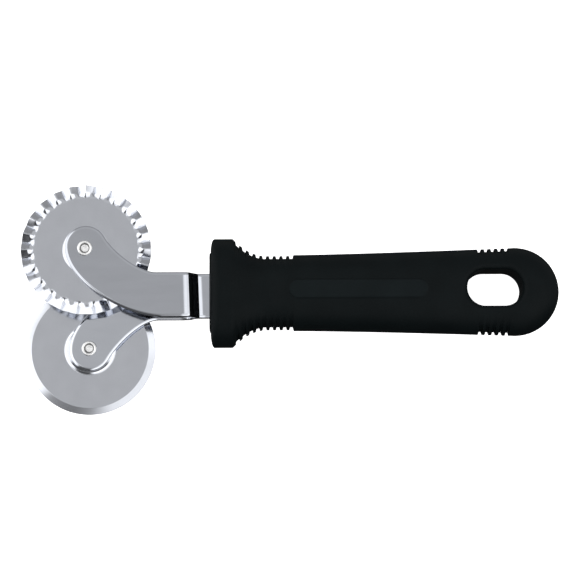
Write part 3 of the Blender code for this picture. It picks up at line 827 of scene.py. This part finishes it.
def build_plain_wheel(material):
    half = WHEEL_SHEET / 2
    front, back = boss_sides(PLAIN_BOSS_RADIUS)
    bevel_start = PLAIN_RADIUS - BEVEL_WIDTH
    edge_front = EDGE_LEVEL + EDGE_THICK / 2
    edge_back = EDGE_LEVEL - EDGE_THICK / 2
    front_fall, back_fall = SHOULDER_FALL
    along, into = EDGE_CHAMFER
    profile = front
    profile += [(bevel_start - PLAIN_DISC_RING, half), (bevel_start - BEVEL_SHOULDER, half),
                (bevel_start, half - front_fall),
                (PLAIN_RADIUS - along, edge_front + EDGE_FRONT_RISE),
                (PLAIN_RADIUS, edge_front - into), (PLAIN_RADIUS, edge_back + into),
                (PLAIN_RADIUS - along, edge_back), (bevel_start, -half + back_fall),
                (bevel_start - BEVEL_SHOULDER, -half)]
    profile += list(reversed(back))
    mesh = lathed("plain_cutting_wheel", profile, WHEEL_STEPS, True)
    add_piece("plain_cutting_wheel", mesh, AXLES["plain_wheel"], material,
              "plain_wheel", "plain_wheel", 60)


def chamfered_ring(inner, outer, top, bottom, chamfer):
    return [(inner, top - chamfer), (inner + chamfer, top), (outer - chamfer, top),
            (outer, top - chamfer), (outer, bottom + chamfer), (outer - chamfer, bottom),
            (inner + chamfer, bottom), (inner, bottom + chamfer)]


def rivet_profile():
    """A tubular rivet from its pit, over the rolled ring, down to its domed rear head."""
    head_top = -GAP - BUSH_LENGTH - GAP - WASHER_THICK - GAP
    head_bottom = head_top - HEAD_THICK
    ring_bottom = SHEET + GAP
    ring_top = ring_bottom + RING_HEIGHT
    shank = HOLE_RADIUS - GAP
    floor = ring_top - PIT_DEPTH
    foot, bend_in = PIT_FOOT
    points = [(radius * MM, floor + rise * MM) for radius, rise in PIT_FLOOR]
    points += [(PIT_RADIUS - foot, floor), (PIT_RADIUS - bend_in, floor + PIT_BEND_HEIGHT),
               (PIT_RADIUS, ring_top - PIT_LIP)]
    middle = (PIT_RADIUS + RING_RADIUS) / 2
    half = (RING_RADIUS - PIT_RADIUS) / 2
    for step in range(RING_STEPS + 1):
        angle = math.pi * (1 - step / RING_STEPS)
        points.append((middle + half * math.cos(angle),
                       ring_top - RING_CROWN + RING_CROWN * math.sin(angle)))
    edge_in, edge_down = HEAD_EDGE
    points += [(RING_RADIUS - RING_UNDERCUT, ring_bottom), (shank, ring_bottom),
               (shank, head_top), (HEAD_RADIUS - edge_in, head_top)]
    dome_top = head_top - edge_down
    for step in range(HEAD_STEPS + 1):
        angle = math.pi / 2 * step / HEAD_STEPS
        points.append((HEAD_RADIUS * math.cos(angle),
                       dome_top - (dome_top - head_bottom) * math.sin(angle)))
    points[-1] = (0.0, head_bottom)
    return points


def build_axle(prefix, body, materials):
    """Rivet, bush and washer of one wheel; heights run down from the arm's back face."""
    place = AXLES[body] + Vector((0, 0, WHEEL_DROP))
    bush_top = -GAP
    washer_top = bush_top - BUSH_LENGTH - GAP
    rings = (
        ("hub_bush", "bush_steel", (HOLE_RADIUS, BUSH_RADIUS, bush_top,
                                    bush_top - BUSH_LENGTH, HUB_CHAMFER)),
        ("hub_washer", "washer_nylon", (HOLE_RADIUS, WASHER_RADIUS, washer_top,
                                        washer_top - WASHER_THICK, HUB_CHAMFER)),
    )
    add_piece(prefix + "_tubular_rivet",
              lathed(prefix + "_rivet", rivet_profile(), AXLE_STEPS), place,
              materials["rivet_steel"], "handle_and_fork",
              prefix + "_axle_rivet", 50)
    for name, slot, sizes in rings:
        add_piece(f"{prefix}_turned_{name}",
                  lathed(name, chamfered_ring(*sizes), AXLE_STEPS, True), place,
                  materials[slot], "handle_and_fork", f"{prefix}_{name}", 30)


def build_pins(material):
    half = PIN_LENGTH / 2
    inner = PIN_RADIUS - PIN_CHAMFER
    profile = [(0.0, half), (inner, half), (PIN_RADIUS, half - PIN_CHAMFER),
               (PIN_RADIUS, PIN_CHAMFER - half), (inner, -half), (0.0, -half)]
    for node, x in zip(("front_tang_pin", "rear_tang_pin"), PIN_X):
        add_piece(node.replace("tang", "cross"), lathed(node, profile, PIN_STEPS),
                  TOOL + Vector((x, FORK_Y, 0)), material,
                  "handle_and_fork", node)


# ---- materials

def math_node(nodes, links, operation, *values):
    node = nodes.new("ShaderNodeMath")
    node.operation = operation
    for socket, value in zip(node.inputs, values):
        if isinstance(value, (int, float)):
            socket.default_value = value
        else:
            links.new(value, socket)
    return node.outputs[0]


class Finish:
    """A Principled material, with short ways to add the nodes that vary it."""

    def __init__(self, name, colour, roughness, metallic=0.0, specular=0.5):
        self.material = bpy.data.materials.new(name)
        self.material.use_nodes = True
        self.nodes = self.material.node_tree.nodes
        self.links = self.material.node_tree.links
        self.shader = self.nodes["Principled BSDF"]
        self.shader.inputs["Base Color"].default_value = (*colour, 1)
        self.shader.inputs["Roughness"].default_value = roughness
        self.shader.inputs["Metallic"].default_value = metallic
        self.shader.inputs["Specular IOR Level"].default_value = specular
        self.colour = colour
        self.coordinates = self.nodes.new("ShaderNodeTexCoord").outputs["Object"]
        self.normal = None

    def stretched(self, scale):
        mapping = self.nodes.new("ShaderNodeMapping")
        mapping.inputs["Scale"].default_value = scale
        self.links.new(self.coordinates, mapping.inputs["Vector"])
        return mapping.outputs["Vector"]

    def noise(self, scale, detail=3.0, stretch=None, roughness=0.5):
        noise = self.nodes.new("ShaderNodeTexNoise")
        noise.inputs["Scale"].default_value = scale
        noise.inputs["Detail"].default_value = detail
        noise.inputs["Roughness"].default_value = roughness
        vector = self.stretched(stretch) if stretch else self.coordinates
        self.links.new(vector, noise.inputs["Vector"])
        return noise.outputs["Fac"]

    def turned_lines(self, scale, detail=4.0):
        """Noise that only changes with the distance from the Z axis."""
        join = self.nodes.new("ShaderNodeCombineXYZ")
        self.links.new(self.distance_from_axis(), join.inputs["X"])
        noise = self.nodes.new("ShaderNodeTexNoise")
        noise.inputs["Scale"].default_value = scale
        noise.inputs["Detail"].default_value = detail
        self.links.new(join.outputs[0], noise.inputs["Vector"])
        return noise.outputs["Fac"]

    def spread(self, value, low, high, start=0.3, end=0.7):
        """The value remapped so that start gives low and end gives high."""
        remap = self.nodes.new("ShaderNodeMapRange")
        for name, number in (("From Min", start), ("From Max", end), ("To Min", low),
                             ("To Max", high)):
            remap.inputs[name].default_value = number
        self.links.new(value, remap.inputs["Value"])
        return remap.outputs["Result"]

    def vary_roughness(self, value, low, high, start=0.3, end=0.7):
        self.links.new(self.spread(value, low, high, start, end),
                       self.shader.inputs["Roughness"])

    def vary_colour(self, value, darker, start=0.3, end=0.7):
        mix = self.nodes.new("ShaderNodeMix")
        mix.data_type = "RGBA"
        mix.inputs[6].default_value = (*(c * darker for c in self.colour), 1)
        mix.inputs[7].default_value = (*self.colour, 1)
        self.links.new(self.spread(value, 0, 1, start, end), mix.inputs[0])
        self.links.new(mix.outputs[2], self.shader.inputs["Base Color"])

    def height(self):
        split = self.nodes.new("ShaderNodeSeparateXYZ")
        self.links.new(self.coordinates, split.inputs[0])
        return split.outputs["Z"]

    def distance_from_axis(self):
        length = self.nodes.new("ShaderNodeVectorMath")
        length.operation = "LENGTH"
        self.links.new(self.stretched((1, 1, 0)), length.inputs[0])
        return length.outputs["Value"]

    def product(self, first, second):
        return math_node(self.nodes, self.links, "MULTIPLY", first, second)

    def scale_colour(self, mask, times):
        """Multiplies the colour where the mask is 1."""
        mix = self.nodes.new("ShaderNodeMix")
        mix.data_type = "RGBA"
        mix.blend_type = "MULTIPLY"
        mix.inputs[7].default_value = (times, times, times, 1)
        self.links.new(mask, mix.inputs[0])
        self.links.new(self.shader.inputs["Base Color"].links[0].from_socket, mix.inputs[6])
        self.links.new(mix.outputs[2], self.shader.inputs["Base Color"])

    def bump(self, value, height, strength=1.0):
        bump = self.nodes.new("ShaderNodeBump")
        bump.inputs["Distance"].default_value = height
        bump.inputs["Strength"].default_value = strength
        self.links.new(value, bump.inputs["Height"])
        if self.normal:
            self.links.new(self.normal, bump.inputs["Normal"])
        self.normal = bump.outputs["Normal"]
        self.links.new(self.normal, self.shader.inputs["Normal"])


def label_mask(finish):
    """1 on the label's panel and 0 off it."""
    def vector_math(operation, first, second):
        node = finish.nodes.new("ShaderNodeVectorMath")
        node.operation = operation
        finish.links.new(first, node.inputs[0])
        node.inputs[1].default_value = second
        return node

    middle = ((LABEL_START + LABEL_END) / 2, LABEL_Y, GRIP_HALF_THICK)
    reach = ((LABEL_END - LABEL_START) / 2 - LABEL_HALF_WIDTH, 0, LABEL_MASK_DEPTH)
    from_middle = vector_math("SUBTRACT", finish.coordinates, middle).outputs[0]
    away = vector_math("ABSOLUTE", from_middle, (0, 0, 0)).outputs[0]
    beyond = vector_math("SUBTRACT", away, reach).outputs[0]
    outside = vector_math("MAXIMUM", beyond, (0, 0, 0)).outputs[0]
    distance = vector_math("LENGTH", outside, (0, 0, 0)).outputs["Value"]
    return finish.spread(distance, 1, 0, LABEL_HALF_WIDTH,
                         LABEL_HALF_WIDTH + LABEL_MASK_EDGE)


def black_moulding():
    finish = Finish("black_moulding", (0.0036, 0.0055, 0.0061), 0.5, specular=0.06)
    cloudy = finish.noise(160, 4)
    finish.vary_roughness(cloudy, 0.46, 0.58)
    finish.vary_colour(finish.noise(90, 3), 0.8)
    finish.scale_colour(label_mask(finish), 1.5)
    finish.bump(finish.noise(3200, 2), 0.03 * MM)
    finish.bump(finish.noise(900, 2), 0.02 * MM, 0.6)
    return finish.material


def core_moulding():
    finish = Finish("core_moulding", (0.004, 0.005, 0.0055), 0.6, specular=0.08)
    finish.vary_roughness(finish.noise(200, 3), 0.55, 0.68)
    finish.bump(finish.noise(1500, 3), 0.02 * MM)
    return finish.material


def arm_steel():
    finish = Finish("arm_steel", (0.54, 0.56, 0.605), 0.12, metallic=1.0)
    brushing = finish.noise(60, 6, stretch=(1, 40, 1), roughness=0.65)
    finish.vary_roughness(brushing, 0.06, 0.11)
    finish.vary_colour(finish.noise(110, 4, stretch=(0.5, 2, 1)), 0.94)
    # painted light: the same steel is painted up to 1.2 times lighter from the front arm to the
    # rear arm, for the brighter reflection on the rear arm
    finish.scale_colour(finish.spread(finish.height(), 0, 1, ARM_LEVEL, -ARM_LEVEL), 1.2)
    finish.bump(brushing, 0.0012 * MM)
    return finish.material


def wheel_steel():
    finish = Finish("wheel_steel", (0.655, 0.675, 0.725), 0.12, metallic=1.0)
    lines = finish.turned_lines(2600)
    finish.vary_roughness(lines, 0.1, 0.15)
    finish.vary_colour(finish.noise(120, 4), 0.94)
    finish.bump(lines, 0.0008 * MM)
    return finish.material


def rivet_steel():
    finish = Finish("rivet_steel", (0.92, 0.92, 0.92), 0.45, metallic=1.0)
    finish.vary_roughness(finish.noise(700, 3), 0.42, 0.55)
    finish.vary_colour(finish.noise(500, 3), 0.93)
    radius = finish.distance_from_axis()
    # painted shade: the foot and wall of the pit are painted down to a quarter of the colour, for
    # the shade that falls in the recess
    foot = finish.spread(radius, 0, 1, PIT_RADIUS - PIT_FOOT[0], PIT_RADIUS - 0.25 * MM)
    lip = finish.spread(radius, 1, 0, PIT_RADIUS, PIT_RADIUS + 0.2 * MM)
    finish.scale_colour(finish.product(foot, lip), 0.25)
    # painted shade: the outer edge of the rolled ring is painted down to 0.4, for the shade in the
    # crease where it meets the arm
    finish.scale_colour(finish.spread(radius, 0, 1, RING_RADIUS - 0.1 * MM, RING_RADIUS), 0.4)
    finish.bump(finish.noise(1300, 3), 0.03 * MM)
    return finish.material


def bush_steel():
    finish = Finish("bush_steel", (0.68, 0.68, 0.67), 0.22, metallic=1.0)
    finish.vary_roughness(finish.turned_lines(3000), 0.18, 0.3)
    finish.bump(finish.noise(80, 5, stretch=(1, 1, 40)), 0.003 * MM)
    return finish.material


def pin_steel():
    finish = Finish("pin_steel", (0.6, 0.6, 0.6), 0.3, metallic=1.0)
    finish.vary_roughness(finish.noise(400, 3), 0.25, 0.38)
    finish.bump(finish.noise(60, 5, stretch=(30, 30, 1)), 0.003 * MM)
    return finish.material


def washer_nylon():
    finish = Finish("washer_nylon", (0.72, 0.7, 0.63), 0.42)
    finish.shader.inputs["Subsurface Weight"].default_value = 0.15
    finish.shader.inputs["Subsurface Scale"].default_value = 0.5 * MM
    finish.vary_roughness(finish.noise(500, 3), 0.36, 0.5)
    finish.vary_colour(finish.noise(300, 3), 0.93)
    finish.bump(finish.turned_lines(2500), 0.004 * MM)
    return finish.material


MATERIALS = {make.__name__: make() for make in (
    black_moulding, core_moulding, arm_steel, wheel_steel, rivet_steel, bush_steel,
    pin_steel, washer_nylon)}


# ---- studio

CAMERA_DISTANCE = 900 * MM
CAMERA_TILT = math.radians(6.5)
CAMERA_ROLL = math.radians(0.3)
CAMERA_TARGET = TOOL + Vector((30.80, 1.232, 0)) * MM
CAMERA_CLIP = (0.01, 20)
LENS = 145.1
SENSOR_WIDTH = 36
FLOOR_DROP = 0.2 * MM  # keeps the floor off the face the tool lies on
FLOOR_RADIUS = 4.0
WALL_PROFILE = ((FLOOR_RADIUS, -0.01), (FLOOR_RADIUS, 2.0), (3.2, 3.4), (1.6, 4.2), (0.0, 4.4))
STUDIO_STEPS = 96
KEY_DIRECTION = (0.1, 0.55, 1.0)
KEY_DISTANCE = 0.8
KEY_SIZE = 0.8
KEY_POWER = 1.2

# Brightness of the studio by compass direction (degrees from +X) at four heights
HIGH_BAND = ((-180, 1.7), (-156, 1.65), (-149, 0.36), (-122, 0.25), (-104, 0.4),
             (-92, 0.8), (-84, 1.15), (-60, 1.3), (-20, 1.3), (0, 1.2), (14, 1.5), (28, 1.6),
             (46, 0.68), (138, 0.67), (150, 0.95), (160, 1.2), (170, 1.7), (180, 1.7))
MIDDLE_BAND = ((-180, 1.8), (-142, 1.7), (-132, 0.1), (-97, 0.06), (-86, 1.8), (5, 1.8),
               (22, 0.66), (122, 0.66), (136, 1.8), (180, 1.8))
LOW_BAND = ((-180, 1.7), (-142, 1.6), (-134, 0.3), (-60, 0.25), (-40, 0.2), (-26, 1.7),
            (5, 1.7), (22, 0.4), (122, 0.34), (138, 1.7), (180, 1.7))
BELOW_BAND = ((-180, 1.5), (-158, 1.5), (-148, 0.04), (-20, 0.04), (5, 0.5), (138, 0.5),
              (155, 1.5), (180, 1.5))
ZENITH = 0.60
NADIR = 0.04

# Where each band fades into the next, in degrees from straight up
HIGH_TO_MIDDLE = (26, 35)
MIDDLE_TO_LOW = (60, 68)
LOW_TO_BELOW = (74, 82)
BELOW_TO_NADIR = (115, 135)
ZENITH_EDGE = (8.5, 12)  # from the zenith's own direction
ZENITH_TILT = math.radians(6)
ZENITH_COMPASS = math.radians(120)
BRIGHTEST = 2.0


def studio_world():
    """Soft panels of light round the tool, laid out by direction."""
    world = bpy.data.worlds.new("studio")
    bpy.context.scene.world = world
    world.use_nodes = True
    nodes, links = world.node_tree.nodes, world.node_tree.links
    background = nodes["Background"]
    split = nodes.new("ShaderNodeSeparateXYZ")
    direction = nodes.new("ShaderNodeTexCoord").outputs["Generated"]
    links.new(direction, split.inputs[0])
    x, y, z = split.outputs
    compass = math_node(nodes, links, "ARCTAN2", y, x)
    turn = math_node(nodes, links, "MULTIPLY_ADD", compass, 1 / math.tau, 0.5)
    down = math_node(nodes, links, "ARCCOSINE", z)
    polar = math_node(nodes, links, "MULTIPLY", down, 180 / math.pi)
    overhead = nodes.new("ShaderNodeVectorMath")
    overhead.operation = "DOT_PRODUCT"
    overhead.inputs[1].default_value = (
        math.sin(ZENITH_TILT) * math.cos(ZENITH_COMPASS),
        math.sin(ZENITH_TILT) * math.sin(ZENITH_COMPASS), math.cos(ZENITH_TILT))
    links.new(direction, overhead.inputs[0])
    off_zenith = math_node(nodes, links, "ARCCOSINE", overhead.outputs["Value"])
    off_zenith = math_node(nodes, links, "MULTIPLY", off_zenith, 180 / math.pi)

    def band(stops):
        ramp = nodes.new("ShaderNodeValToRGB")
        elements = ramp.color_ramp.elements
        while len(elements) > 1:
            elements.remove(elements[0])
        for number, (degrees, level) in enumerate(stops):
            place = (degrees + 180) / 360
            element = elements[0] if number == 0 else elements.new(place)
            element.position = place
            element.color = (*[level / BRIGHTEST] * 3, 1)
        links.new(turn, ramp.inputs["Fac"])
        return ramp.outputs["Color"]

    def blended(first, second, start, end, angle=polar):
        share = nodes.new("ShaderNodeMapRange")
        share.interpolation_type = "SMOOTHSTEP"
        share.inputs["From Min"].default_value = start
        share.inputs["From Max"].default_value = end
        links.new(angle, share.inputs["Value"])
        mix = nodes.new("ShaderNodeMix")
        mix.data_type = "RGBA"
        links.new(share.outputs["Result"], mix.inputs[0])
        for socket, value in ((mix.inputs[6], first), (mix.inputs[7], second)):
            if isinstance(value, float):
                socket.default_value = (*[value / BRIGHTEST] * 3, 1)
            else:
                links.new(value, socket)
        return mix.outputs[2]

    sky = blended(ZENITH, band(HIGH_BAND), *ZENITH_EDGE, off_zenith)
    sky = blended(sky, band(MIDDLE_BAND), *HIGH_TO_MIDDLE)
    sky = blended(sky, band(LOW_BAND), *MIDDLE_TO_LOW)
    sky = blended(sky, band(BELOW_BAND), *LOW_TO_BELOW)
    sky = blended(sky, NADIR, *BELOW_TO_NADIR)
    links.new(sky, background.inputs["Color"])
    background.inputs["Strength"].default_value = BRIGHTEST


def plain_white(name):
    material = bpy.data.materials.new(name)
    material.use_nodes = True
    shader = material.node_tree.nodes["Principled BSDF"]
    shader.inputs["Base Color"].default_value = (0.9, 0.9, 0.9, 1)
    shader.inputs["Roughness"].default_value = 0.9
    shader.inputs["Emission Color"].default_value = (1, 1, 1, 1)
    shader.inputs["Emission Strength"].default_value = 1.0
    return material


def only_for_the_camera(obj):
    obj.visible_diffuse = False
    obj.visible_glossy = False
    obj.visible_transmission = False
    obj.visible_shadow = False


def build_backdrop():
    """A pale floor, and a pale wall far round it."""
    floor = bmesh.new()
    bmesh.ops.create_circle(floor, cap_ends=True, segments=STUDIO_STEPS,
                            radius=FLOOR_RADIUS)
    floor_obj = bpy.data.objects.new("studio_floor", mesh_of(floor, "studio_floor"))
    floor_obj.location.z = -FLOOR_DROP
    wall = lathed("studio_wall", WALL_PROFILE, STUDIO_STEPS)
    wall.flip_normals()
    wall_obj = bpy.data.objects.new("studio_wall", wall)
    white = plain_white("studio_white")
    for obj in (floor_obj, wall_obj):
        obj.data.materials.append(white)
        obj.data.shade_smooth()
        bpy.context.scene.collection.objects.link(obj)
        only_for_the_camera(obj)


def add_panel_light(name, direction, distance, size, power):
    """A soft lamp that lights plastic without being mirrored in the steel."""
    light = bpy.data.lights.new(name, "AREA")
    light.shape = "DISK"
    light.size = size
    light.energy = power
    lamp = bpy.data.objects.new(name, light)
    lamp.location = CAMERA_TARGET + Vector(direction).normalized() * distance
    lamp.rotation_euler = Vector(direction).to_track_quat("Z", "Y").to_euler()
    lamp.visible_glossy = False
    bpy.context.scene.collection.objects.link(lamp)


def build_camera():
    camera = bpy.data.cameras.new("camera")
    camera.lens = LENS
    camera.sensor_width = SENSOR_WIDTH
    camera.clip_start, camera.clip_end = CAMERA_CLIP
    obj = bpy.data.objects.new("camera", camera)
    back = Vector((0, -math.sin(CAMERA_TILT), math.cos(CAMERA_TILT)))
    flat_right = Vector((1, 0, 0))
    flat_up = Vector((0, math.cos(CAMERA_TILT), math.sin(CAMERA_TILT)))
    cosine, sine = math.cos(CAMERA_ROLL), math.sin(CAMERA_ROLL)
    right = flat_right * cosine - flat_up * sine
    up = flat_right * sine + flat_up * cosine
    obj.matrix_world = Matrix.Translation(CAMERA_TARGET + back * CAMERA_DISTANCE) @ Matrix(
        (right, up, back)).transposed().to_4x4()
    bpy.context.scene.collection.objects.link(obj)
    bpy.context.scene.camera = obj


def build_tool():
    build_grip(MATERIALS["black_moulding"])
    build_core(MATERIALS["core_moulding"])
    build_arm("upper_strip_arm", "upper_arm", "fluted_wheel", 1, MATERIALS["arm_steel"])
    build_arm("lower_strip_arm", "lower_arm", "plain_wheel", -1, MATERIALS["arm_steel"])
    build_pins(MATERIALS["pin_steel"])
    build_fluted_wheel(MATERIALS["wheel_steel"])
    build_plain_wheel(MATERIALS["wheel_steel"])
    build_axle("fluted", "fluted_wheel", MATERIALS)
    build_axle("plain", "plain_wheel", MATERIALS)


build_tool()
build_backdrop()
studio_world()
build_camera()
bpy.context.scene.view_settings.view_transform = "Standard"
add_panel_light("soft_key", KEY_DIRECTION, KEY_DISTANCE, KEY_SIZE, KEY_POWER)
